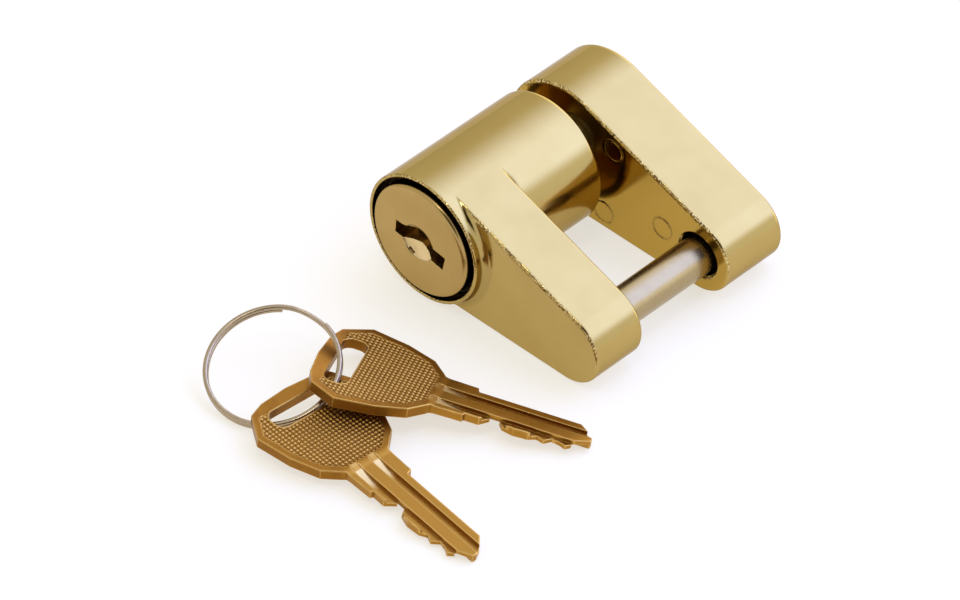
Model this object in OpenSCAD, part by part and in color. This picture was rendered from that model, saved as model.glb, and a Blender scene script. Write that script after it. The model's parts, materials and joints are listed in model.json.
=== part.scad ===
// Trailer coupler lock: a cast body with a key cylinder, a steel shackle pin and a rear arm
// whose notched stud slides into the body, so that the span between the arms can be set.
// Millimetres, +Z up. The origin is on the shackle pin's axis, midway between the two arms.
// The pin runs along Y, the key cylinder lies at -X, and +Y points from the key to the rear.

/* [Casting] */
// Radius of the round barrel that holds the key cylinder
barrel_r = 11.2; // [10.6:0.1:12]
// Radius of both arms round the shackle pin
tip_r = 6.35; // [5.5:0.05:7]
// Distance in X from the shackle pin to the barrel's axis
axis_gap = 28.2; // [26:0.1:32]
// Thickness of the front arm
front_arm_t = 10.1; // [9:0.1:11]
// Thickness of the rear arm
rear_arm_t = 12.3; // [12:0.1:13]
// How far the barrel's collar stands out of the front arm
collar_proud = 1.9; // [1:0.1:3]
// Length of barrel behind the front arm
barrel_behind = 16.2; // [15.6:0.1:16.4]

/* [Shackle] */
// Span between the arms
span = 19.05; // [19:0.05:20]
// Diameter of the shackle pin
pin_d = 6.35; // [6:0.05:6.5]
// Diameter of the hole in the rear arm that takes the pin
pin_hole_d = 7.4; // [7:0.1:8]

/* [Stud] */
// Radius of the locking stud
stud_r = 4; // [3.8:0.1:4.2]
// Distance from one notch of the stud to the next
notch_pitch = 2.4; // [2.2:0.1:2.6]
// Number of notches
notch_count = 4; // [3:1:4]

/* [Key cylinder] */
// Radius of the cylinder's face, the round disc that the key goes into
face_r = 9.65; // [9:0.05:9.8]
// Radius of the cylinder's plug
plug_r = 6.4; // [6:0.1:6.6]
// Number of wafers
wafer_count = 5; // [4:1:5]
// Thickness of a wafer
wafer_t = 0.8; // [0.6:0.1:1]

/* [Keys] */
// Thickness of a key
key_t = 1.8; // [1.6:0.1:2]
// How much higher the first key's bow end lies than its tip
key_a_lift = 2.25; // [2:0.05:3]
// How much higher the second key's bow end lies than its tip
key_b_lift = 4.1; // [3:0.1:5]
// Sideways lean of the second key, which lies across the first
key_b_roll = -9.6; // [-12:0.1:0]

/* [Key ring] */
// Outer radius of the split ring
ring_r = 10.6; // [10:0.1:11]
// Diameter of the ring's wire, which goes round twice
wire_d = 0.8; // [0.7:0.05:1]
// Tilt of the ring, which leans on the keys
ring_tilt = 19.4; // [12:0.1:22]

/* [Hidden] */
$fn = 96;

// how far a cut runs past the face that it opens
past = 1;
// how far flat flanks lie inside the round ends that they join
tuck = 0.01;

// places of the two axes and of the surface that everything lies on
barrel_z = barrel_r - tip_r;
floor_z = -tip_r;

// stations along Y
front_inner = -span / 2;
front_outer = front_inner - front_arm_t;
collar_front = front_outer - collar_proud;
barrel_end = front_inner + barrel_behind;
rear_inner = span / 2;
rear_outer = rear_inner + rear_arm_t;

// key cylinder
face_front = collar_front - 0.75;
face_t = 3.3;
face_bore_r = 10.55;
face_bore_end = face_front + face_t + 0.5;
sleeve_r = 9.3;
sleeve_end = -7.4;
plug_clear = 0.05;
plug_end = sleeve_end + 0.1;
keyway_w = 6.8;
keyway_h = 2.1;

// wafers, which slide along X in the plug
wafer_pitch = 1.9;
wafer_first = -17.2;
wafer_half_w = 5.4;
wafer_half_h = 2.5;
wafer_window_w = 6.5;
wafer_window_h = 2.3;
wafer_ear_h = 1.3;
wafer_ear_w = 1.2;
wafer_gap = 0.15;
wafer_spring_r = 0.38;
wafer_spring_l = 2.1;

// cam behind the plug, whose spiral groove lifts the locking bolt
cam_r = 8.4;
cam_front = sleeve_end + 0.2;
cam_t = 1.8;
cam_end = cam_front + cam_t;
cam_screw_r = 1.5;
cam_head_r = 2.4;
cam_head_t = 0.9;
bore_end = -5.2;
bolt_lift = 1.6;
key_turn = 90;
follower_r = 0.9;
follower_low = 5.3;
groove_half = 1.05;
groove_steps = 24;

// locking bolt, which slides along Z above the stud
bolt_half_w = 4;
bolt_low = 4.3;
bolt_high = 7.6;
bolt_front = -5;
bolt_rear = 1.2;
bolt_gap = 0.1;
bolt_room_high = 9.6;
tooth_half_w = 2.2;
tooth_low = 3.05;
tooth_front = -0.3;
tooth_rear = 0.5;

// notched stud
stud_bore_r = stud_r + 0.08;
stud_tip = -1.5;
notch_first = -0.4;
notch_r = 2.9;
notch_flat = 1;
notch_ramp = 1.1;
stud_shank_r = 4.5;
stud_shank_end = rear_outer - 2.3;

// shackle pin
pin_r = pin_d / 2;
pin_end = rear_outer - 4.8;
pin_chamfer = 0.6;
pin_nose_r = pin_r - 0.25;
pin_nose = rear_inner - 0.2;
pin_shank_r = pin_r + 0.225;
pin_shank_l = 7.6;
pin_hole_end = rear_outer - 1.9;

// cross pins
cross_pin_r = 1;
sleeve_pin_y = -13;
sleeve_pin_in = 8.2;
stud_pin_y = 15;
stud_pin_half = 8;

// keys: bow outline from its end to the blade, for one side
bow = [[-20.8, 0], [-20.4, 5], [-19.4, 7.7], [-15.1, 10.1], [-9, 8.9], [-4.3, 7], [-1.7, 4.1]];
blade_tip = [[3.6, 4], [3.9, 3.1], [20.1, 3.1], [21.9, 1.4], [22.6, 0.2]];
cuts = [[22.6, -0.5], [20.3, -1.6], [19.3, -2.7], [18.2, -2.1], [17, -1.9], [16, -3],
        [14.8, -2.5], [13.6, -3.2], [11.2, -3.4], [9.4, -2.9], [8.7, -1.8], [7.2, -1.8],
        [5.9, -3.4], [3.6, -3.4], [3.4, -3.9]];
bow_low = [for (i = [len(bow) - 1:-1:1]) [bow[i][0], -bow[i][1]]];
key_outline = concat(bow, blade_tip, cuts, bow_low);
slot_u = [-18.1, -14.5];
slot_half = 6;
slot_round = 1.5;
key_length = 43.4;
blade_grooves = [[0.55, 1.75], [-2.95, -1.6]];
blade_groove_d = 0.5;
key_a_root = [-4.55, -56.1];
key_a_yaw = -5.3;
key_b_root = [-6.9, -38.13];
key_b_yaw = 25.2;

// ring
ring_centre = [-29.48, -52.28];
ring_mean_r = ring_r - wire_d / 2;
ring_rise = 103.6;
wire_step = 0.68;
ring_half_h = (wire_step + wire_d) / 2;

// a straight cylinder along Y
module along_y(r, from, to) {
    translate([0, from, 0]) rotate([-90, 0, 0]) cylinder(r = r, h = to - from);
}

// a flat shape drawn in X and Z, as thick as from one Y to another
module plate_y(from, to) {
    translate([0, to, 0]) rotate([90, 0, 0]) linear_extrude(to - from) children();
}

// a box given by two corners
module block(low, high) {
    translate(low) cube(high - low);
}

// moves children to the barrel's axis
module at_barrel() {
    translate([-axis_gap, 0, barrel_z]) children();
}

// the flanks that join the barrel to the round end at the shackle pin
module flanks(from, to) {
    run = norm([axis_gap, barrel_z]);
    lean = atan2(-barrel_z, axis_gap);
    spread = acos((barrel_r - tip_r) / run);
    corner = function (cx, cz, r, a) [cx + (r - tuck) * cos(a), cz + (r - tuck) * sin(a)];
    plate_y(from, to) polygon([
        corner(-axis_gap, barrel_z, barrel_r, lean + spread),
        corner(0, 0, tip_r, lean + spread),
        corner(0, 0, tip_r, lean - spread),
        corner(-axis_gap, barrel_z, barrel_r, lean - spread)]);
}

// the pocket above the stud in which the locking bolt slides, with a slot for its tooth
module bolt_room() {
    block([-bolt_half_w - bolt_gap, bore_end - past, bolt_low - bolt_gap],
          [bolt_half_w + bolt_gap, bolt_rear + bolt_gap, bolt_room_high]);
    block([-tooth_half_w - bolt_gap, tooth_front - bolt_gap, 0],
          [tooth_half_w + bolt_gap, tooth_rear + bolt_gap, bolt_low]);
}

module lock_body() {
    color("gold") difference() {
        union() {
            at_barrel() along_y(barrel_r, collar_front, barrel_end);
            flanks(front_outer, front_inner);
            along_y(tip_r, front_outer, front_inner);
        }
        at_barrel() {
            along_y(face_bore_r, collar_front - past, face_bore_end);
            along_y(sleeve_r, face_bore_end - past, bore_end);
            along_y(stud_bore_r, bore_end - past, barrel_end + past);
            bolt_room();
            translate([0, sleeve_pin_y, -barrel_r - past]) cylinder(r = cross_pin_r, h = 4);
        }
        along_y(pin_shank_r, front_inner - pin_shank_l, front_inner + past);
    }
}

module shackle_pin() {
    color("silver") rotate([-90, 0, 0]) rotate_extrude() polygon([
        [0, front_inner - pin_shank_l],
        [pin_shank_r, front_inner - pin_shank_l],
        [pin_shank_r, front_inner - 0.05],
        [pin_r, front_inner],
        [pin_r, pin_nose],
        [pin_nose_r, pin_nose + 0.1],
        [pin_nose_r, pin_end - pin_chamfer],
        [pin_nose_r - pin_chamfer, pin_end],
        [0, pin_end]]);
}

module cylinder_sleeve() {
    color("darkkhaki") at_barrel() difference() {
        along_y(sleeve_r, face_bore_end, sleeve_end);
        along_y(plug_r + plug_clear, face_bore_end - past, sleeve_end + past);
        translate([0, sleeve_pin_y, -barrel_r]) cylinder(r = cross_pin_r, h = barrel_r - sleeve_pin_in);
    }
}

module sleeve_pin() {
    color("silver") at_barrel() translate([0, sleeve_pin_y, -barrel_r + 0.1])
        cylinder(r = cross_pin_r, h = barrel_r - sleeve_pin_in - 0.1);
}

// the keyway in the face: a band that waves across a round recess
module face_keyway() {
    polygon([[-4.8, 1.5], [-3.5, 1.4], [-2.3, 1.7], [-1.3, 2], [-0.4, 2.1], [0.5, 1.9], [1.5, 1.2],
             [2.2, 0.4], [2.9, 0.4], [5.2, 0], [4.9, -2.3], [3.6, -2.1], [2.4, -1.8], [1.4, -1.2],
             [0.6, -0.8], [-0.2, -0.6], [-1.7, -0.7], [-3.4, -0.9], [-4.9, -0.7]]);
}

module cylinder_face() {
    color("goldenrod") at_barrel() difference() {
        union() {
            along_y(face_r - 0.4, face_front, face_front + 0.4);
            along_y(face_r, face_front + 0.4, face_front + face_t);
        }
        plate_y(face_front - past, face_front + face_t + past) face_keyway();
        along_y(3.2, face_front - past, face_front + 0.3);
    }
}

// the room that a wafer, its ear and its spring have in the plug
module wafer_room(i) {
    from = wafer_first + i * wafer_pitch - wafer_gap / 2;
    to = from + wafer_t + wafer_gap;
    block([-plug_r - past, from, -wafer_half_h - wafer_gap],
          [plug_r + past, to, wafer_half_h + wafer_gap]);
    block([-wafer_ear_w / 2 - 0.5, from, 0],
          [wafer_ear_w / 2 + 0.1 + wafer_spring_l + 0.1, to, wafer_half_h + wafer_ear_h + wafer_gap]);
}

module cylinder_plug() {
    color("khaki") at_barrel() difference() {
        along_y(plug_r, face_front + face_t, plug_end);
        block([-keyway_w / 2, face_front, -keyway_h / 2], [keyway_w / 2, plug_end - 1.2, keyway_h / 2]);
        for (i = [0:wafer_count - 1]) wafer_room(i);
        along_y(cam_screw_r, plug_end - 0.9, plug_end + past);
    }
}

module wafer(i) {
    from = wafer_first + i * wafer_pitch;
    color("burlywood") at_barrel() difference() {
        union() {
            block([-wafer_half_w, from, -wafer_half_h], [wafer_half_w, from + wafer_t, wafer_half_h]);
            block([-wafer_ear_w / 2, from, 0],
                  [wafer_ear_w / 2, from + wafer_t, wafer_half_h + wafer_ear_h]);
        }
        block([-wafer_window_w / 2, from - past, -wafer_window_h / 2],
              [wafer_window_w / 2, from + wafer_t + past, wafer_window_h / 2]);
    }
}

module wafer_spring(i) {
    middle = wafer_first + i * wafer_pitch + wafer_t / 2;
    height = wafer_half_h + wafer_gap + wafer_ear_h / 2;
    color("lightgray") at_barrel() translate([wafer_ear_w / 2 + 0.05, middle, height])
        rotate([0, 90, 0]) cylinder(r = wafer_spring_r, h = wafer_spring_l, $fn = 24);
}

// distance from the axis of the spiral groove's middle, after the key has turned by a
function groove_middle(a) = follower_low + bolt_lift * a / key_turn;

module cam_disc() {
    margin = 14;
    turns = [for (i = [0:groove_steps]) -margin + i * (key_turn + 2 * margin) / groove_steps];
    edge = function (a, side) (groove_middle(a) + side * groove_half) * [sin(a), cos(a)];
    color("gray") at_barrel() difference() {
        along_y(cam_r, cam_front, cam_end);
        plate_y(cam_front + 0.5, cam_end + past) mirror([1, 0]) polygon(concat(
            [for (a = turns) edge(a, 1)],
            [for (i = [groove_steps:-1:0]) edge(turns[i], -1)]));
        along_y(cam_screw_r, cam_front - past, cam_end + past);
    }
}

module cam_screw() {
    color("dimgray") at_barrel() difference() {
        union() {
            along_y(cam_screw_r, plug_end - 0.9, cam_end + 0.2);
            along_y(cam_head_r, cam_end, cam_end + cam_head_t);
        }
        block([-cam_head_r - past, cam_end + 0.45, -0.3], [cam_head_r + past, cam_end + 2, 0.3]);
    }
}

module locking_bolt() {
    color("slategray") at_barrel() difference() {
        union() {
            block([-bolt_half_w, bolt_front, bolt_low], [bolt_half_w, bolt_rear, bolt_high]);
            block([-tooth_half_w, tooth_front, tooth_low], [tooth_half_w, tooth_rear, bolt_low + 0.5]);
        }
        translate([0, bolt_front - past, follower_low]) rotate([-90, 0, 0])
            cylinder(r = follower_r, h = 3 + past);
    }
}

module bolt_follower() {
    color("silver") at_barrel() translate([0, cam_end - 1.1, follower_low]) rotate([-90, 0, 0])
        cylinder(r = follower_r, h = bolt_front + 3 - cam_end + 1.1);
}

module rear_arm() {
    color("gold") difference() {
        union() {
            at_barrel() along_y(barrel_r, rear_inner, rear_outer);
            flanks(rear_inner, rear_outer);
            along_y(tip_r, rear_inner, rear_outer);
        }
        at_barrel() {
            along_y(stud_shank_r, rear_inner - past, stud_shank_end);
            translate([0, stud_pin_y, -barrel_r - past])
                cylinder(r = cross_pin_r, h = barrel_r + past + stud_pin_half);
        }
        along_y(pin_hole_d / 2, rear_inner - past, pin_hole_end);
    }
}

// half outline of the stud's notched end, from its tip to the rear arm
function notch(i) = let (y = notch_first + i * notch_pitch) [
    [stud_r, y], [notch_r, y], [notch_r, y + notch_flat], [stud_r, y + notch_flat + notch_ramp]];

module locking_stud() {
    notches = [for (i = [0:notch_count - 1]) each notch(i)];
    color("lightsteelblue") at_barrel() difference() {
        rotate([-90, 0, 0]) rotate_extrude() polygon(concat(
            [[0, stud_tip], [stud_r - 0.6, stud_tip], [stud_r, stud_tip + 0.6]],
            notches,
            [[stud_r, rear_inner], [stud_shank_r, rear_inner],
             [stud_shank_r, stud_shank_end], [0, stud_shank_end]]));
        translate([0, stud_pin_y, -barrel_r]) cylinder(r = cross_pin_r, h = barrel_r + stud_pin_half);
    }
}

module stud_pin() {
    color("silver") at_barrel() translate([0, stud_pin_y, -barrel_r + 0.6])
        cylinder(r = cross_pin_r, h = barrel_r - 0.6 + stud_pin_half);
}

// lays a key down with its lowest edge on the surface and its bow end lifted
module lay_key(root, yaw, lift, roll) {
    pitch = asin(lift / key_length);
    lowest = min([for (p = key_outline) p[1] * sin(roll) * cos(pitch) - p[0] * sin(pitch)]);
    translate([root[0], root[1], floor_z - lowest])
        rotate([0, 0, yaw]) rotate([0, pitch, 0]) rotate([roll, 0, 0]) children();
}

module key_blank() {
    difference() {
        linear_extrude(key_t) polygon(key_outline);
        for (side = [-1, 1]) translate([slot_u[0] + slot_round, side * (slot_half - slot_round), -past])
            cylinder(r = slot_round, h = key_t + 2 * past);
        block([slot_u[0], -slot_half + slot_round, -past],
              [slot_u[1], slot_half - slot_round, key_t + past]);
        block([slot_u[0] + slot_round, -slot_half, -past], [slot_u[1], slot_half, key_t + past]);
        for (groove = blade_grooves) {
            block([1, groove[0], key_t - blade_groove_d], [24, groove[1], key_t + past]);
            block([1, -groove[1], -past], [24, -groove[0], blade_groove_d]);
        }
    }
}

module key_a() {
    color("peru") lay_key(key_a_root, key_a_yaw, key_a_lift, 0) key_blank();
}

module key_b() {
    color("peru") lay_key(key_b_root, key_b_yaw, key_b_lift, key_b_roll)
        key_blank();
}

module split_ring() {
    low = ring_mean_r * sin(ring_tilt) + ring_half_h * cos(ring_tilt) + wire_d / 2 * sin(ring_tilt);
    color("lightgray") translate([ring_centre[0], ring_centre[1], floor_z + low])
        rotate([0, 0, ring_rise]) rotate([0, -ring_tilt, 0]) rotate_extrude()
        translate([ring_mean_r, 0]) for (side = [-1, 1])
            translate([0, side * wire_step / 2]) circle(d = wire_d, $fn = 32);
}

lock_body();
shackle_pin();
cylinder_sleeve();
sleeve_pin();
cylinder_face();
cylinder_plug();
cam_disc();
cam_screw();
locking_bolt();
bolt_follower();
for (i = [1:wafer_count]) wafer(i - 1);
for (i = [1:wafer_count]) wafer_spring(i - 1);
rear_arm();
locking_stud();
stud_pin();
split_ring();
key_a();
key_b();
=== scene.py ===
"""The looks of a trailer coupler lock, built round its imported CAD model.

Shapes are in millimetres, in the row's frame: the shackle pin's axis is Y, the key cylinder is at -X
and +Z is up. A casting, face or key is described by a field, the distance from its surface, which
surface_net() turns into a mesh whose points and normals both come from the field.
"""

import json
import math

import bpy
import numpy as np
from mathutils import Matrix, Vector


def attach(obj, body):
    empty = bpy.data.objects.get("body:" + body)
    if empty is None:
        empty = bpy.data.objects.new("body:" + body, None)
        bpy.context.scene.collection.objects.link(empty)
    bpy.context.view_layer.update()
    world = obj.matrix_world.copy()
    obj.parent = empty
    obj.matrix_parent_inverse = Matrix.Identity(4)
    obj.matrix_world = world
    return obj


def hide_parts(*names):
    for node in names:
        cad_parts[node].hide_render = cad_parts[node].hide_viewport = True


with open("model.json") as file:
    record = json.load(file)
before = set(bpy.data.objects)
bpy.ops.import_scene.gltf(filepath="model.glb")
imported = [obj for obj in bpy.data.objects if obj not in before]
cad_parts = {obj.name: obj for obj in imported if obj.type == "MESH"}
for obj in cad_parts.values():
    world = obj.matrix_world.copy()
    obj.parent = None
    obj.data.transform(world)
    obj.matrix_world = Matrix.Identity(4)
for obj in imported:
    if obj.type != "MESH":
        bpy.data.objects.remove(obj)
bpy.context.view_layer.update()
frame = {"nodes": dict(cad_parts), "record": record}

MM = 0.001

# the casting's outline, the same for both arms: a large and a small round end
BARREL_R = 11.2
TIP_R = 6.35
BARREL_X = -28.2
BARREL_Z = BARREL_R - TIP_R
FLOOR_Z = -TIP_R

# stations along Y
COLLAR_FRONT = -21.525
FRONT_OUTER = -19.625
FRONT_INNER = -9.525
BARREL_END = 6.675
REAR_INNER = 9.525
REAR_OUTER = 21.825

# round marks that the ejector pins leave on the rear arm's inner side
EJECTOR_MARKS = ((-7.3, 1), (-19.3, -3.1), (-17.9, 9.9))
EJECTOR_R = 1.9

# key cylinder: the face with its keyway, dished middle and slit, about the barrel's axis
FACE_R = 9.65
FACE_FRONT = -22.275
FACE_BACK = -18.975
FACE_BORE_R = 10.55
FACE_BORE_END = -18.475
SLEEVE_R = 9.3
SLEEVE_BORE_END = -5.2
KEYWAY = [(-4.8, 1.5), (-3.5, 1.4), (-2.3, 1.7), (-1.3, 2), (-0.4, 2.1), (0.5, 1.9), (1.5, 1.2),
          (2.2, 0.5), (2.9, 0.4), (5.4, 0), (4.95, -2.5), (3.6, -2.3), (2.4, -2), (1.35, -1.45),
          (0.6, -1.05), (-0.2, -0.8), (-1.7, -0.9), (-3.4, -1.1), (-4.95, -0.9)]
DISH = (-0.15, -0.35)
DISH_R = 3.15
SLIT = [(-2.05, -2.35), (-1.05, -2.95), (-1.2, -3.2), (-2.2, -2.6)]

# stud, pins and the pocket for the locking bolt
STUD_R = 4
STUD_BORE_R = 4.08
STUD_TIP = -1.5
STUD_SHANK_R = 4.5
STUD_SHANK_END = 19.525
NOTCHES = [-0.4, 2, 4.4, 6.8]
PIN_R = 3.175
PIN_NOSE_R = 2.925
PIN_SHANK_R = 3.4
PIN_SHANK_START = -17.125
PIN_NOSE = 9.325
PIN_END = 17.025
PIN_HOLE_R = 3.7
PIN_HOLE_END = 19.925
BOLT_ROOM = ((-4.1, 4.1), (-6.2, 1.3), (4.2, 9.6))
TOOTH_SLOT = ((-2.3, 2.3), (-0.4, 0.6), (0, 4.3))
CROSS_PIN_R = 1
SLEEVE_PIN_Y = -13
STUD_PIN_Y = 15
STUD_PIN_TOP = 8

# keys, in their own frame: u along the blade, v across it, w through it
KEY_T = 1.8
KEY_LENGTH = 43.4
BOW = [(-20.8, 0), (-20.4, 5), (-19.4, 7.7), (-15.1, 10.1), (-9, 8.9), (-4.3, 7), (-1.7, 4.1)]
BLADE = [(3.6, 4), (3.9, 3.1), (20.1, 3.1), (21.9, 1.4), (22.6, 0.2)]
CUTS = [(22.6, -0.5), (20.3, -1.6), (19.3, -2.7), (18.2, -2.1), (17, -1.9), (16, -3), (14.8, -2.5),
        (13.6, -3.2), (11.2, -3.4), (9.4, -2.9), (8.7, -1.8), (7.2, -1.8), (5.9, -3.4), (3.6, -3.4),
        (3.4, -3.9)]
KEY_OUTLINE = BOW + BLADE + CUTS + [(u, -v) for u, v in BOW[:0:-1]]
KEY_SLOT = ((-18.25, -14.4), (-6, 6), 1.5)
GROOVES = ((0.55, 1.75), (-2.95, -1.6))
GROOVE_DEPTH = 0.5
GROOVE_START = -1.5
RUN_OUT = 5.2
WAIST = 0.2
KNURL_PITCH = 0.69
KNURL_SINK = 0.17
KNURL_BORDER = 1.05

# where each key lies: its root (x, y), yaw, the lift of its bow and its roll
KEY_POSES = {"key_a": ((-4.55, -56.1), -5.3, 2.25, 0), "key_b": ((-6.9, -38.13), 25.2, 4.1, -9.6)}

# split ring
RING_CENTRE = (-29.48, -52.28)
RING_MEAN_R = 10.2
RING_TILT = 19.4
RING_RISE = 103.6
WIRE_R = 0.4
WIRE_HALF_H = 0.37
RING_HALF_H = 0.74
RING_CROSSING = 0.32


# ---------------------------------------------------------------- distance fields

def blend_or(a, b, reach):
    """Union of two fields, blended where they are nearer to each other than reach."""
    overlap = np.maximum(reach - np.abs(a - b), 0)
    return np.minimum(a, b) - overlap ** 2 / (4 * np.maximum(reach, 1e-6))


def round_and(a, b, r):
    """Intersection of two fields with their shared edge rounded to radius r."""
    return np.minimum(-r, np.maximum(a, b)) + np.hypot(np.maximum(r + a, 0), np.maximum(r + b, 0))


def slab(p, low, high):
    """Distance from the space between two parallel planes."""
    return np.abs(p - (low + high) / 2) - (high - low) / 2


def box(points, spans):
    """Distance from a box, whose spans are (low, high) along each of the points' axes."""
    return np.maximum.reduce([slab(p, *span) for p, span in zip(points, spans)])


def teardrop(x, z):
    """Distance from the outline of an arm: two circles and the lines that touch both."""
    run = math.hypot(BARREL_X, BARREL_Z)
    ax, az = BARREL_X / run, BARREL_Z / run
    lean = (TIP_R - BARREL_R) / run
    flat = math.sqrt(1 - lean * lean)
    along = x * ax + z * az
    across = np.abs(z * ax - x * az)
    where = along * flat - across * lean
    return np.where(where < 0, np.hypot(across, along) - TIP_R,
                    np.where(where > flat * run, np.hypot(across, along - run) - BARREL_R,
                             across * flat + along * lean - TIP_R))


def polygon(u, v, corners):
    """Distance from a closed outline, negative inside it."""
    nearest = np.full(np.shape(u), 1e9)
    inside = np.zeros(np.shape(u), bool)
    for (au, av), (bu, bv) in zip(corners, corners[1:] + corners[:1]):
        eu, ev = bu - au, bv - av
        share = np.clip(((u - au) * eu + (v - av) * ev) / (eu * eu + ev * ev), 0, 1)
        nearest = np.minimum(nearest, (u - au - share * eu) ** 2 + (v - av - share * ev) ** 2)
        if ev:
            inside ^= ((av > v) != (bv > v)) & (u < eu * (v - av) / ev + au)
    return np.sqrt(nearest) * np.where(inside, -1, 1)


def smooth_step(x, low, high):
    """0 below low, 1 above high and a smooth rise between."""
    t = np.clip((x - low) / (high - low), 0, 1)
    return t * t * (3 - 2 * t)


def field_gradient(field, points, h=0.02):
    """The field's gradient at each point."""
    sides = []
    for axis in range(3):
        step = np.zeros(3)
        step[axis] = h
        sides.append((field(*(points + step).T) - field(*(points - step).T)) / (2 * h))
    return np.stack(sides, 1)


def surface_net(field, axes, steps=5):
    """Points, quads and normals of the field's zero surface on a grid with the given axes."""
    value = field(*np.meshgrid(*axes, indexing="ij"))
    inside = value < 0
    cells = np.array(value.shape) - 1
    at, where, quads = [], [], []
    for a in range(3):
        b, c = (a + 1) % 3, (a + 2) % 3
        low, high = [slice(None)] * 3, [slice(None)] * 3
        low[a], high[a] = slice(None, -1), slice(1, None)
        low, high = tuple(low), tuple(high)
        crossed = inside[low] != inside[high]
        index = np.argwhere(crossed)
        first, last = value[low][crossed], value[high][crossed]
        point = np.stack([axes[k][index[:, k]] for k in range(3)], 1)
        point[:, a] += first / (first - last) * (axes[a][index[:, a] + 1] - point[:, a])
        around = []
        for db, dc in ((0, 0), (1, 0), (1, 1), (0, 1)):
            cell = index.copy()
            cell[:, b] -= db
            cell[:, c] -= dc
            around.append(np.ravel_multi_index(cell.T, cells))
            at.append(point)
        where += around
        quad = np.stack(around, 1)
        leaves = inside[low][crossed]
        quads.append(np.where(leaves[:, None], quad, quad[:, ::-1]))
    where, at, quads = np.concatenate(where), np.concatenate(at), np.concatenate(quads)
    used, place = np.unique(where, return_inverse=True)
    count = np.bincount(place)
    points = np.stack([np.bincount(place, at[:, k]) / count for k in range(3)], 1)
    reach = min(float(np.diff(axis).min()) for axis in axes)
    for _ in range(steps):
        slope = field_gradient(field, points)
        size = np.maximum((slope ** 2).sum(1), 1e-3)
        move = np.clip(field(*points.T) / size, -reach, reach)
        points -= move[:, None] * slope * 0.9
    slope = field_gradient(field, points, 0.04)
    normals = slope / np.maximum(np.linalg.norm(slope, axis=1), 1e-9)[:, None]
    return points, np.searchsorted(used, quads), normals


def bend_of(field, points, h=0.25):
    """How sharply the surface turns outward at each point, in 1/mm: high on edges, low in corners."""
    total = -6 * field(*points.T)
    for axis in range(3):
        step = np.zeros(3)
        step[axis] = h
        total += field(*(points + step).T) + field(*(points - step).T)
    return total / (h * h)


def lock_body_field(x, y, z):
    """The cast body: the barrel with its collar, and the front arm."""
    bx, bz = x - BARREL_X, z - BARREL_Z
    from_axis = np.hypot(bx, bz)
    outline = teardrop(x, z)
    arm = round_and(outline, slab(y, FRONT_OUTER, FRONT_INNER), 0.55)
    rim = np.where(y < -10, 0.32, 0.95)
    barrel = round_and(from_axis - BARREL_R, slab(y, COLLAR_FRONT, BARREL_END), rim)
    fillet = np.clip(1.2 * (from_axis - BARREL_R - outline), 0, np.where(y < -15, 1.4, 0.7))
    body = blend_or(arm, barrel, fillet)
    body = round_and(body, -np.maximum(from_axis - FACE_BORE_R, y - FACE_BORE_END), 0.22)
    body = np.maximum(body, -np.maximum(from_axis - SLEEVE_R, y - SLEEVE_BORE_END))
    body = round_and(body, STUD_BORE_R - from_axis, 0.3)
    body = np.maximum(body, -box((bx, y, bz), BOLT_ROOM))
    body = np.maximum(body, -box((bx, y, bz), TOOTH_SLOT))
    cross = np.maximum(np.hypot(bx, y - SLEEVE_PIN_Y) - CROSS_PIN_R, bz + 7)
    body = round_and(body, -cross, 0.15)
    pin = np.maximum(np.hypot(x, z) - PIN_SHANK_R, PIN_SHANK_START - y)
    return round_and(body, -pin, 0.2)


def rear_arm_field(x, y, z):
    """The rear arm, with the holes for the stud, the shackle pin and the cross pin."""
    bx, bz = x - BARREL_X, z - BARREL_Z
    body = round_and(teardrop(x, z), slab(y, REAR_INNER, REAR_OUTER), 0.6)
    for mx, mz in EJECTOR_MARKS:
        ring = np.abs(np.hypot(x - mx, z - mz) - EJECTOR_R)
        body = body + 0.09 * np.exp(-(ring / 0.16) ** 2) * smooth_step(-y, -REAR_INNER - 1, -REAR_INNER)
    stud = np.maximum(np.hypot(bx, bz) - STUD_SHANK_R, y - STUD_SHANK_END)
    body = round_and(body, -stud, 0.2)
    mouth = np.clip(REAR_INNER + 0.5 - y, 0, 0.6)
    pin = np.maximum(np.hypot(x, z) - PIN_HOLE_R - mouth * 0.8, y - PIN_HOLE_END)
    body = round_and(body, -pin, 0.15)
    cross = np.maximum(np.hypot(bx, y - STUD_PIN_Y) - CROSS_PIN_R, bz - STUD_PIN_TOP)
    return round_and(body, -cross, 0.15)


def face_field(x, y, z):
    """The round face of the key cylinder: dished middle, keyway and a small slit beside it."""
    bx, bz = x - BARREL_X, z - BARREL_Z
    from_axis = np.hypot(bx, bz)
    body = round_and(from_axis - FACE_R, slab(y, FACE_FRONT, FACE_BACK), 0.7)
    dish = np.hypot(bx - DISH[0], bz - DISH[1])
    depth = (0.12 + 0.85 * (1 - (dish / DISH_R) ** 2)) * smooth_step(DISH_R - dish, -0.08, 0.1)
    body = np.maximum(body, -(y - FACE_FRONT - depth))
    body = round_and(body, -polygon(bx, bz, KEYWAY), 0.07)
    slit = np.maximum(polygon(bx, bz, SLIT), y - FACE_FRONT - 0.8)
    return round_and(body, -slit, 0.04)


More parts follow.
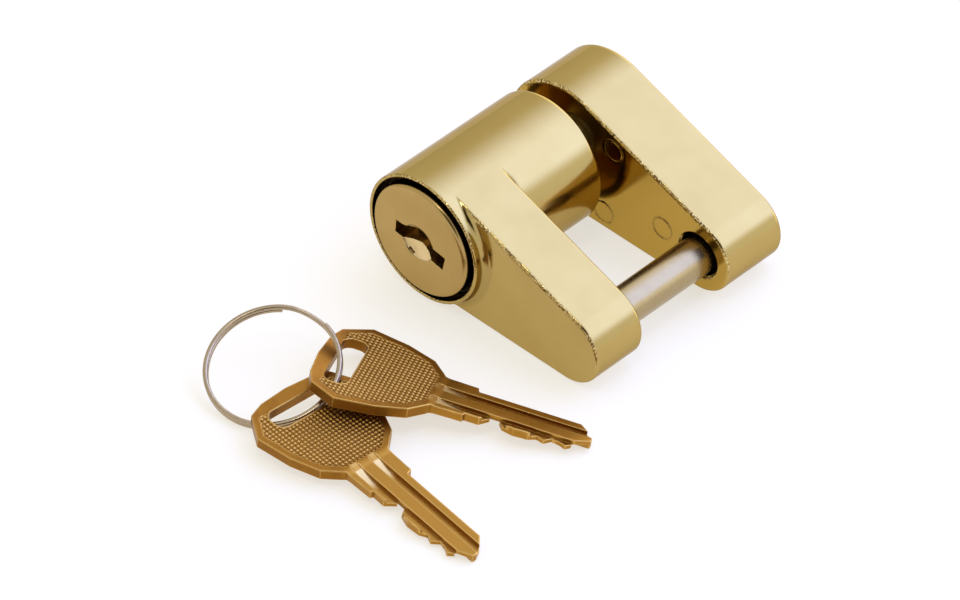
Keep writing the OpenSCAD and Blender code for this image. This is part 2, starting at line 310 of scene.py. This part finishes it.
def key_field(u, v, w):
    """A key blank with its cuts: knurled bow with a slot, and a blade with two grooves on each side."""
    (su0, su1), (sv0, sv1), corner = KEY_SLOT
    across = np.abs(u - (su0 + su1) / 2) - (su1 - su0) / 2 + corner
    along = np.abs(v) - sv1 + corner
    slot = np.hypot(np.maximum(across, 0), np.maximum(along, 0)) \
        + np.minimum(np.maximum(across, along), 0) - corner
    outline = polygon(u, v, KEY_OUTLINE)
    flat = round_and(outline, -slot, 0.1)
    inner = np.maximum(outline + KNURL_BORDER, np.maximum(-slot + 0.15, u + 2.5))
    inner = np.maximum(inner, su0 - u - 0.1 * (np.abs(v) > sv1 + 0.3))
    turn = 2 * math.pi / KNURL_PITCH
    dots = np.sqrt(np.clip(0.5 + 0.25 * (np.cos(turn * u) + np.cos(turn * v)), 0, 1))
    sink = KNURL_SINK * smooth_step(-inner, 0, 0.3) * (1 - smooth_step(dots, 0.5, 1))
    waist = WAIST * smooth_step(u, -2.3, -0.8)
    faces = np.maximum(w - KEY_T, -w) + sink + waist
    body = round_and(flat, faces, 0.13)
    for low, high in GROOVES:
        share = np.clip((u - GROOVE_START) / RUN_OUT, -0.3, 1)
        floor = (GROOVE_DEPTH + 0.15) * share * (2 - share) + WAIST
        for side in (1, -1):
            depth = (KEY_T - w if side > 0 else w) - floor
            body = round_and(body, -np.maximum(slab(v * side, low, high), depth), 0.05)
    return body


# ---------------------------------------------------------------- meshes

def make_object(name, points, faces, normals=None):
    """A smooth-shaded mesh object from points in millimetres."""
    mesh = bpy.data.meshes.new(name)
    mesh.from_pydata((np.asarray(points) * MM).tolist(), [], [list(map(int, f)) for f in faces])
    mesh.validate()
    mesh.shade_smooth()
    if normals is not None:
        mesh.normals_split_custom_set_from_vertices(normals.tolist())
    obj = bpy.data.objects.new(name, mesh)
    bpy.context.scene.collection.objects.link(obj)
    return obj


def store(obj, name, values):
    """Keeps one number for each point of the mesh, for its material."""
    layer = obj.data.attributes.new(name, "FLOAT", "POINT")
    layer.data.foreach_set("value", np.asarray(values, np.float32))


def grid_axis(low, high, step, fine=()):
    """Grid lines from low to high. fine lists (from, to, step) spans with a step of their own."""
    lines, p = [], low
    while p < high + step:
        lines.append(p)
        p += next((s for a, b, s in fine if a <= p < b), step)
    return np.array(lines)


def lathe(name, profile, segments, centre=(0, 0)):
    """A solid turned about an axis along Y. profile lists (radius, y), from the axis back to the axis."""
    angles = np.arange(segments) * 2 * math.pi / segments
    rim = np.stack([np.cos(angles), np.sin(angles)], 1)
    points, rings = [], []
    for radius, y in profile:
        if radius == 0:
            rings.append([len(points)] * segments)
            points.append((centre[0], y, centre[1]))
        else:
            rings.append(list(range(len(points), len(points) + segments)))
            points += [(centre[0] + radius * cx, y, centre[1] + radius * cz) for cx, cz in rim]
    faces = []
    for one, two in zip(rings, rings[1:]):
        for i in range(segments):
            j = (i + 1) % segments
            corner = [one[i], two[i], two[j], one[j]]
            faces.append(list(dict.fromkeys(corner)))
    return make_object(name, points, faces)


def rounded_profile(corners, radius, steps=4):
    """A lathe profile whose inner corners are rounded, and whose ends stay as they are."""
    corners = [np.array(c, float) for c in corners]
    out = [tuple(corners[0])]
    for before, here, after in zip(corners, corners[1:], corners[2:]):
        back, on = before - here, after - here
        reach = min(radius, np.linalg.norm(back) * 0.45, np.linalg.norm(on) * 0.45)
        start = here + back / np.linalg.norm(back) * reach
        end = here + on / np.linalg.norm(on) * reach
        for t in np.linspace(0, 1, steps + 1):
            out.append(tuple((1 - t) ** 2 * start + 2 * t * (1 - t) * here + t * t * end))
    out.append(tuple(corners[-1]))
    return out


def crease(obj, angle=35):
    """Splits shading at edges sharper than an angle in degrees."""
    obj.data.set_sharp_from_angle(angle=math.radians(angle))


def key_matrix(root, yaw, lift, roll):
    """Where a key lies: rolled, pitched by the lift of its bow, turned, and set down on the floor."""
    pitch, roll = math.asin(lift / KEY_LENGTH), math.radians(roll)
    lowest = min(v * math.sin(roll) * math.cos(pitch) - u * math.sin(pitch) for u, v in KEY_OUTLINE)
    turn = Matrix.Rotation(math.radians(yaw), 3, "Z") @ Matrix.Rotation(pitch, 3, "Y") \
        @ Matrix.Rotation(roll, 3, "X")
    return np.array(turn), np.array([root[0], root[1], FLOOR_Z - lowest])


def ring_points():
    """The split ring's wire: two turns side by side, with one crossing from the lower to the upper."""
    along, around = 360, 20
    end = RING_CROSSING + 0.06
    angle = np.linspace(end, 4 * math.pi - end, along)
    crossing = smooth_step(angle, 2 * math.pi - RING_CROSSING, 2 * math.pi + RING_CROSSING)
    height = WIRE_HALF_H * (2 * crossing - 1)
    section = np.arange(around) * 2 * math.pi / around
    power = 0.8
    across = WIRE_R * np.sign(np.cos(section)) * np.abs(np.cos(section)) ** power
    up = WIRE_HALF_H * np.sign(np.sin(section)) * np.abs(np.sin(section)) ** power
    radius = RING_MEAN_R + across[None]
    points = np.stack([radius * np.cos(angle)[:, None], radius * np.sin(angle)[:, None],
                       height[:, None] + up[None]], -1)
    faces = []
    for i in range(along - 1):
        for j in range(around):
            k = (j + 1) % around
            faces.append((i * around + j, (i + 1) * around + j, (i + 1) * around + k, i * around + k))
    faces.append(range(around))
    faces.append(range(along * around - 1, (along - 1) * around - 1, -1))
    tilt = math.radians(RING_TILT)
    turn = np.array(Matrix.Rotation(math.radians(RING_RISE), 3, "Z") @ Matrix.Rotation(-tilt, 3, "Y"))
    low = RING_MEAN_R * math.sin(tilt) + RING_HALF_H * math.cos(tilt) + WIRE_R * math.sin(tilt)
    centre = np.array([*RING_CENTRE, FLOOR_Z + low])
    return points.reshape(-1, 3) @ turn.T + centre, faces


def cast_piece(name, node, field, axes):
    """A casting or machined piece from its field, with masks for its flash line, whose beads get painted
    glints, for painted shade in its corners and for a painted bounce tint on its inner side.
    """
    points, quads, normals = surface_net(field, axes)
    obj = make_object(name, points, quads, normals)
    bend = bend_of(field, points)
    # mask of the flash line on edges that face front and up: real roughness and bumps, and painted glints
    # in its colour
    store(obj, "flash_and_glint", smooth_step(bend, 0.9, 1.6) * smooth_step(-normals[:, 1], 0.2, 0.5)
          * smooth_step(normals[:, 2], -0.1, 0.3))
    # painted shade: a mask that grows where the surface turns inward, in corners and creases
    store(obj, "corner", np.clip(-bend * 0.6 - 0.1, 0, 1))
    # painted bounce light: the rear arm's inner side, which faces the front arm, is given a deeper golden
    # colour for the light reflected between the arms
    store(obj, "inner_bounce", smooth_step(-normals[:, 1], 0.6, 0.95) * smooth_step(points[:, 1], 8, 9))
    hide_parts(node)
    return obj, points


CAST_STEP = 0.27
body_axes = (grid_axis(BARREL_X - BARREL_R - 1, TIP_R + 1, CAST_STEP),
             grid_axis(COLLAR_FRONT - 0.8, BARREL_END + 1, CAST_STEP, [(-23, -18.8, 0.16)]),
             grid_axis(FLOOR_Z - 1, BARREL_Z + BARREL_R + 1, CAST_STEP))
casting, body_points = cast_piece("body_casting", "lock_body", lock_body_field, body_axes)
rear_axes = (grid_axis(BARREL_X - BARREL_R - 1, TIP_R + 1, 0.23),
             grid_axis(REAR_INNER - 0.7, REAR_OUTER + 0.8, 0.3, [(8, 10.6, 0.12)]),
             grid_axis(FLOOR_Z - 1, BARREL_Z + BARREL_R + 1, 0.23))
rear, _ = cast_piece("rear_casting", "rear_arm", rear_arm_field, rear_axes)
face_axes = (grid_axis(BARREL_X - FACE_R - 0.5, BARREL_X + FACE_R + 0.5, 0.12),
             grid_axis(FACE_FRONT - 0.4, FACE_BACK + 0.6, 0.3, [(-23, -21.2, 0.12)]),
             grid_axis(BARREL_Z - FACE_R - 0.5, BARREL_Z + FACE_R + 0.5, 0.12))
face, face_points = cast_piece("key_face", "cylinder_face", face_field, face_axes)

# painted shade: the gap round the key face, on the body and on the face, turns near black beyond a set
# depth behind the face's front
for piece, points, depth in ((casting, body_points, 1.4), (face, face_points, 1)):
    radius = np.hypot(points[:, 0] - BARREL_X, points[:, 2] - BARREL_Z)
    in_gap = smooth_step(radius, FACE_R - 0.5, FACE_R - 0.1) \
        * smooth_step(FACE_BORE_R + 0.1 - radius, 0, 0.05)
    store(piece, "gap_shade", in_gap * smooth_step(points[:, 1] - FACE_FRONT, depth - 0.6, depth))
# painted highlight: the dished middle of the face is painted lighter
face_x, _, face_z = face_points.T - np.array([[BARREL_X], [0], [BARREL_Z]])
store(face, "dish_highlight", smooth_step(DISH_R - np.hypot(face_x - DISH[0], face_z - DISH[1]), 0, 0.15))

pin = lathe("pin_bar", rounded_profile([
    (0, PIN_SHANK_START), (PIN_SHANK_R, PIN_SHANK_START), (PIN_SHANK_R, FRONT_INNER - 0.05),
    (PIN_R, FRONT_INNER), (PIN_R, PIN_NOSE), (PIN_NOSE_R, PIN_NOSE + 0.1), (PIN_NOSE_R, PIN_END - 0.6),
    (PIN_NOSE_R - 0.6, PIN_END), (0, PIN_END)], 0.15), 96)
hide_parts("shackle_pin")

notched = []
for y in NOTCHES:
    notched += [(STUD_R, y), (2.9, y), (2.9, y + 1), (STUD_R, y + 2.1)]
stud = lathe("stud_bar", rounded_profile([
    (0, STUD_TIP), (STUD_R - 0.6, STUD_TIP), (STUD_R, STUD_TIP + 0.6), *notched, (STUD_R, REAR_INNER),
    (STUD_SHANK_R, REAR_INNER), (STUD_SHANK_R, STUD_SHANK_END), (0, STUD_SHANK_END)], 0.12), 72,
    (BARREL_X, BARREL_Z))
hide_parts("locking_stud")
for turned in (pin, stud):
    crease(turned)

key_axes = (grid_axis(-21.6, 23.2, 0.14), grid_axis(-10.8, 10.8, 0.14),
            grid_axis(-0.3, KEY_T + 0.2, 0.1))
key_points, key_quads, key_normals = surface_net(key_field, key_axes)
key_bend = bend_of(key_field, key_points, 0.15)
key_u, key_v, key_w = key_points.T
milled = sum(smooth_step(-slab(key_v, *groove), -0.05, 0.15) for groove in GROOVES) \
    * smooth_step(KEY_T - WAIST - key_w, 0.04, 0.12) * smooth_step(key_normals[:, 2], 0.8, 0.95) \
    * smooth_step(key_u, GROOVE_START, GROOVE_START + 0.3) * smooth_step(-key_u, -3.4, -1.4)
keys = {}
for node, pose in KEY_POSES.items():
    turn, place = key_matrix(*pose)
    placed = key_points @ turn.T + place
    keys[node] = make_object(node + "_brass", placed, key_quads, key_normals @ turn.T)
    # edges and knurl dot tops: partly wear, partly a painted highlight
    store(keys[node], "edge", np.clip(key_bend * 0.25 - 0.1, 0, 1))
    # painted shade: a mask that grows where the key's surface turns inward, in the knurl's hollows and
    # corners
    store(keys[node], "corner", np.clip(-key_bend * 0.25 - 0.05, 0, 1))
    store(keys[node], "key_u", key_points[:, 0])
    store(keys[node], "milled", milled)
    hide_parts(node)

ring = make_object("ring_wire", *ring_points())
crease(ring, 50)
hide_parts("split_ring")


# ---------------------------------------------------------------- materials

class Nodes:
    """The node tree of a material or world, with short calls for the nodes that are used here."""

    def __init__(self, owner, shader="Principled BSDF"):
        owner.use_nodes = True
        self.owner = owner
        self.tree = owner.node_tree
        self.shader = self.tree.nodes[shader]

    def add(self, kind, **settings):
        node = self.tree.nodes.new("ShaderNode" + kind)
        for key, value in settings.items():
            setattr(node, key, value)
        return node

    def put(self, socket, value):
        if isinstance(value, bpy.types.NodeSocket):
            self.tree.links.new(value, socket)
        else:
            socket.default_value = value

    def math(self, operation, a, b=0.0):
        node = self.add("Math", operation=operation)
        self.put(node.inputs[0], a)
        self.put(node.inputs[1], b)
        return node.outputs[0]

    def attribute(self, name):
        return self.add("Attribute", attribute_name=name).outputs["Fac"]

    def position(self, stretch=(1, 1, 1), turn=(0, 0, 0)):
        """Object coordinates in millimetres, stretched along each axis."""
        mapping = self.add("Mapping")
        self.put(mapping.inputs["Vector"], self.add("TexCoord").outputs["Object"])
        mapping.inputs["Scale"].default_value = [s / MM for s in stretch]
        mapping.inputs["Rotation"].default_value = turn
        return mapping.outputs[0]

    def noise(self, size, detail=2.0, roughness=0.5, where=None):
        """Noise whose lumps are about size millimetres across."""
        node = self.add("TexNoise")
        self.put(node.inputs["Vector"], where or self.position())
        self.put(node.inputs["Scale"], 1 / size)
        self.put(node.inputs["Detail"], detail)
        self.put(node.inputs["Roughness"], roughness)
        return node.outputs["Fac"]

    def ramp(self, value, low, high, to_low=0.0, to_high=1.0, kind="LINEAR"):
        """Maps low..high to to_low..to_high, held at the ends."""
        node = self.add("MapRange", clamp=True, interpolation_type=kind)
        for socket, number in zip(node.inputs[:5], (value, low, high, to_low, to_high)):
            self.put(socket, number)
        return node.outputs["Result"]

    def blend(self, share, a, b):
        """A colour between a and b."""
        node = self.add("Mix", data_type="RGBA")
        self.put(node.inputs["Factor"], share)
        for socket, colour in ((node.inputs[6], a), (node.inputs[7], b)):
            self.put(socket, (*colour, 1) if isinstance(colour, tuple) else colour)
        return node.outputs[2]

    def bump(self, height, distance, after=None):
        """A bump of that many millimetres, on top of the one before it."""
        node = self.add("Bump")
        node.inputs["Strength"].default_value = 1
        node.inputs["Distance"].default_value = distance * MM
        self.put(node.inputs["Height"], height)
        if after:
            self.put(node.inputs["Normal"], after)
        return node.outputs["Normal"]

    def shade(self, **sockets):
        for name, value in sockets.items():
            socket = self.shader.inputs[name.replace("_", " ").title().replace("Ior", "IOR")]
            self.put(socket, (*value, 1) if isinstance(value, tuple) and len(value) == 3 else value)
        return self.owner


# colours of the flash line's beads: dark pits, partly a painted dark glint, and a painted bright glint
FLASH_PIT_AND_DARK_GLINT = (0.16, 0.085, 0.02)
FLASH_GLINT = (0.72, 0.56, 0.28)
# painted highlight colour for the face's dished middle
DISH_HIGHLIGHT_BRASS = (0.85, 0.66, 0.34)
# painted bounce light: deeper golden colour for the rear arm's inner side
INNER_BOUNCE_BRASS = (0.49, 0.305, 0.047)
# painted shade colour for the gap round the key face
GAP_SHADE = (0.03, 0.018, 0.006)


def plated(name, bright, deep, rough, peel, wear_and_glint):
    """Brass plating: a bright film with a slight peel, and a beaded flash line along the worn edges, its
    beads coloured as pits and as painted glints, bright and dark.

    It has a painted bounce tint, deeper golden, on the rear arm's inner side, painted shade in corners
    and in the face's gap, and a painted highlight in the dish.
    """
    n = Nodes(bpy.data.materials.new(name))
    corner, flash_and_glint = n.attribute("corner"), n.attribute("flash_and_glint")
    cloud = n.noise(7, 3, 0.5)
    beads = n.noise(0.32, 1, 0.4)
    # where the flash line is worn: it roughens and bumps the surface, and carries the painted glints
    worn_and_glinting = n.math("MULTIPLY", flash_and_glint, n.ramp(n.noise(2.2, 2), 0.36, 0.56, 0.25 * wear_and_glint, wear_and_glint))
    colour = n.blend(n.ramp(cloud, 0.3, 0.7), bright, deep)
    # painted bounce light on the rear arm's inner side
    colour = n.blend(n.attribute("inner_bounce"), colour, INNER_BOUNCE_BRASS)
    # painted shade in corners and creases
    colour = n.blend(n.math("MULTIPLY", corner, 0.75), colour, tuple(c * 0.45 for c in deep))
    # painted glints along the flash line: dark beads, then bright beads
    colour = n.blend(n.math("MULTIPLY", worn_and_glinting, n.ramp(beads, 0.48, 0.56)), colour, FLASH_PIT_AND_DARK_GLINT)
    colour = n.blend(n.math("MULTIPLY", worn_and_glinting, n.ramp(beads, 0.44, 0.38)), colour, FLASH_GLINT)
    # painted highlight in the dish
    colour = n.blend(n.math("MULTIPLY", n.attribute("dish_highlight"), 0.6), colour, DISH_HIGHLIGHT_BRASS)
    # painted shade in the gap round the key face
    colour = n.blend(n.attribute("gap_shade"), colour, GAP_SHADE)
    roughness = n.ramp(cloud, 0.3, 0.7, rough, rough * 1.2)
    roughness = n.math("ADD", roughness, n.math("MULTIPLY", worn_and_glinting, 0.08))
    normal = n.bump(n.noise(3, 2, 0.4), peel)
    normal = n.bump(n.noise(0.4, 2, 0.5), peel * 0.15, normal)
    normal = n.bump(n.math("MULTIPLY", worn_and_glinting, beads), 0.1, normal)
    n.put(n.shader.inputs["Normal"], normal)
    return n.shade(base_color=colour, metallic=1.0, roughness=roughness, coat_weight=0.3,
                   coat_roughness=0.1, specular_tint=(0.6, 0.52, 0.38))


BOW_BRIGHT = (0.315, 0.137, 0.016)
BOW_DEEP = (0.255, 0.104, 0.011)
BLADE_BRASS = (0.42, 0.205, 0.03)
# painted shade colour for the key's hollows
HOLLOW_SHADE_BRASS = (0.14, 0.055, 0.01)
# brighter colour for edges and knurl tops: partly wear, partly a painted highlight
WORN_AND_HIGHLIGHT_BRASS = (0.64, 0.385, 0.105)
MILLED_BRASS = (0.62, 0.43, 0.17)


def key_brass(name):
    """Coined brass, satin from handling: painted shade makes it darker and redder in the hollows, and it
    is brighter on edges and tops, partly worn and partly a painted highlight.
    """
    n = Nodes(bpy.data.materials.new(name))
    edge, corner = n.attribute("edge"), n.attribute("corner")
    blade = n.ramp(n.attribute("key_u"), -2.4, -1.2)
    cloud = n.noise(3.5, 4, 0.6)
    colour = n.blend(n.ramp(cloud, 0.35, 0.7), BOW_BRIGHT, BOW_DEEP)
    colour = n.blend(n.math("MULTIPLY", blade, 0.75), colour, BLADE_BRASS)
    # painted shade in the hollows
    colour = n.blend(n.math("MULTIPLY", corner, 0.5), colour, HOLLOW_SHADE_BRASS)
    # worn edges and knurl tops, lighter as a painted highlight too
    colour = n.blend(n.math("MULTIPLY", edge, 0.8), colour, WORN_AND_HIGHLIGHT_BRASS)
    colour = n.blend(n.attribute("milled"), colour, MILLED_BRASS)
    scratch = n.noise(0.5, 3, 0.6, n.position((0.25, 1.6, 1.6), (0, 0, 0.2)))
    roughness = n.math("SUBTRACT", n.ramp(cloud, 0.3, 0.75, 0.34, 0.44), n.math("MULTIPLY", blade, 0.08))
    normal = n.bump(scratch, 0.014)
    normal = n.bump(n.noise(0.3, 3, 0.6), 0.014, normal)
    n.put(n.shader.inputs["Normal"], normal)
    return n.shade(base_color=colour, metallic=1.0, roughness=roughness)


def steel(name, light, dark, rough, stretch, grain=0.006):
    """Ground or drawn steel, with fine lines across the stretched axis and a thin film of soil."""
    n = Nodes(bpy.data.materials.new(name))
    lines = n.noise(0.5, 3, 0.65, n.position(stretch))
    film = n.noise(3, 3, 0.6)
    colour = n.blend(n.ramp(lines, 0.3, 0.7), light, dark)
    colour = n.blend(n.ramp(film, 0.5, 0.75, 0, 0.18), colour, tuple(c * 0.55 for c in dark))
    n.put(n.shader.inputs["Normal"], n.bump(lines, grain))
    roughness = n.ramp(lines, 0.25, 0.75, rough, rough * 1.4)
    return n.shade(base_color=colour, metallic=1.0, roughness=roughness)


casting_finish = plated("plated_brass", (0.495, 0.35, 0.108), (0.465, 0.322, 0.094), 0.13, 0.01, 1.0)
face_finish = plated("face_brass", (0.468, 0.31, 0.1), (0.432, 0.278, 0.083), 0.24, 0.01, 0.0)
key_finish = key_brass("satin_key_brass")
pin_finish = steel("ground_pin_steel", (0.415, 0.315, 0.16), (0.38, 0.285, 0.143), 0.22, (1, 6, 1),
                   0.003)
ring_finish = steel("ring_spring_steel", (0.5, 0.385, 0.245), (0.36, 0.275, 0.17), 0.2, (1, 1, 5),
                    0.002)
inner_finish = steel("oiled_inner_steel", (0.5, 0.5, 0.5), (0.36, 0.35, 0.35), 0.28, (1, 5, 1))
spring_finish = steel("spring_wire_steel", (0.62, 0.62, 0.62), (0.45, 0.45, 0.46), 0.25, (5, 1, 1))
cylinder_finish = steel("machined_brass", (0.72, 0.54, 0.26), (0.6, 0.43, 0.18), 0.3, (1, 5, 1))

FINISHES = {"plated_casting": casting_finish, "plated_face": face_finish, "pin_steel": pin_finish,
            "ring_steel": ring_finish, "key_brass": key_finish, "cylinder_brass": cylinder_finish,
            "inner_steel": inner_finish, "spring_steel": spring_finish}
SLOT_OF = {part["node"]: part["material_slot"] for part in frame["record"]["subparts"]}
BODY_OF = {node: body for body, members in frame["record"]["behaviour"]["bodies"].items()
           for node in members}
STANDS_FOR = {"lock_body": casting, "rear_arm": rear, "cylinder_face": face, "shackle_pin": pin,
              "locking_stud": stud, "split_ring": ring, **keys}

for node, obj in frame["nodes"].items():
    piece = STANDS_FOR.get(node, obj)
    piece.data.materials.clear()
    piece.data.materials.append(FINISHES[SLOT_OF[node]])
    if node in STANDS_FOR:
        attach(piece, BODY_OF[node])


# ---------------------------------------------------------------- floor, light and camera

FLOOR_HALF = 1.6
AIM = Vector((-0.0217, -0.0151, -0.0073))
CAMERA_AT = (0.59636, -0.69914, 0.82226)
FORWARD = Vector((-0.4984, 0.5515, -0.6689)).normalized()
RIGHT = Vector((0.7256, 0.6876, 0.0262))
DARK_SIDE = (0.4984, -0.5515, 0.6689)

LEFT_WALL = (0.84, 0.84, 0.8)
RIGHT_WALL = (1.03, 1.1, 1.3)
FAR_WALL = (2.3, 2.3, 2.1)
WINDOW = (1.77, 2.16, 4.2)
DARKNESS = (0.04, 0.03, 0.015)


def make_floor():
    """A pale table top, lit from below, as for a product picture."""
    half = FLOOR_HALF
    mesh = bpy.data.meshes.new("floor")
    z = FLOOR_Z * MM
    mesh.from_pydata([(-half, -half, z), (half, -half, z), (half, half, z), (-half, half, z)], [],
                     [(0, 1, 2, 3)])
    floor = bpy.data.objects.new("floor", mesh)
    bpy.context.scene.collection.objects.link(floor)
    n = Nodes(bpy.data.materials.new("pale_floor"))
    tone = n.blend(n.noise(30, 2), (0.34, 0.325, 0.29), (0.36, 0.345, 0.31))
    floor.data.materials.append(n.shade(base_color=tone, roughness=0.9, specular_ior_level=0.1,
                                        emission_color=(1, 0.965, 0.89), emission_strength=0.67))


def soft_light(name, direction, distance, size, power):
    """A square area light in a direction from the lock, facing it."""
    light = bpy.data.lights.new(name, "AREA")
    light.size, light.energy = size, power
    obj = bpy.data.objects.new(name, light)
    towards = Vector(direction).normalized()
    obj.location = AIM + towards * distance
    obj.rotation_mode = "QUATERNION"
    obj.rotation_quaternion = (-towards).to_track_quat("-Z", "Y")
    bpy.context.scene.collection.objects.link(obj)


def make_room():
    """A room with pale walls, a wide, cool window behind the lock and a dark side in front of it."""
    world = bpy.data.worlds.new("room")
    n = Nodes(world, "Background")
    direction = n.add("TexCoord").outputs["Generated"]
    towards = n.add("SeparateXYZ")
    n.put(towards.inputs[0], direction)
    side = n.math("ARCTAN2", towards.outputs["X"], towards.outputs["Z"])
    walls = n.blend(n.ramp(side, -1.2, 1.5, kind="SMOOTHSTEP"), LEFT_WALL, RIGHT_WALL)
    walls = n.blend(n.ramp(towards.outputs["Y"], 0.56, 0.8, kind="SMOOTHSTEP"), walls, FAR_WALL)
    dark = n.add("VectorMath", operation="DOT_PRODUCT")
    n.put(dark.inputs[0], direction)
    dark.inputs[1].default_value = DARK_SIDE
    walls = n.blend(n.ramp(dark.outputs["Value"], 0.82, 0.93, kind="SMOOTHSTEP"), walls, DARKNESS)
    window = n.math("MULTIPLY", n.ramp(side, -0.95, 0.3, kind="SMOOTHSTEP"),
                    n.ramp(side, 1.3, 0.9, kind="SMOOTHSTEP"))
    window = n.math("MULTIPLY", window, n.ramp(towards.outputs["Y"], 0.05, 0.4, kind="SMOOTHSTEP"))
    n.shade(color=n.blend(window, walls, WINDOW))
    bpy.context.scene.world = world


make_floor()
make_room()
soft_light("overhead", (0.15, -0.25, 0.95), 0.9, 0.16, 0.7)

camera = bpy.data.cameras.new("camera")
camera.lens, camera.sensor_width = 305.9, 36
camera.clip_start, camera.clip_end = 0.05, 10
viewer = bpy.data.objects.new("camera", camera)
right = (RIGHT - RIGHT.dot(FORWARD) * FORWARD).normalized()
up = right.cross(FORWARD)
turn = Matrix((right, up, -FORWARD)).transposed()
viewer.matrix_world = Matrix.Translation(CAMERA_AT) @ turn.to_4x4()
bpy.context.scene.collection.objects.link(viewer)
bpy.context.scene.camera = viewer
bpy.context.scene.view_settings.view_transform = "Standard"
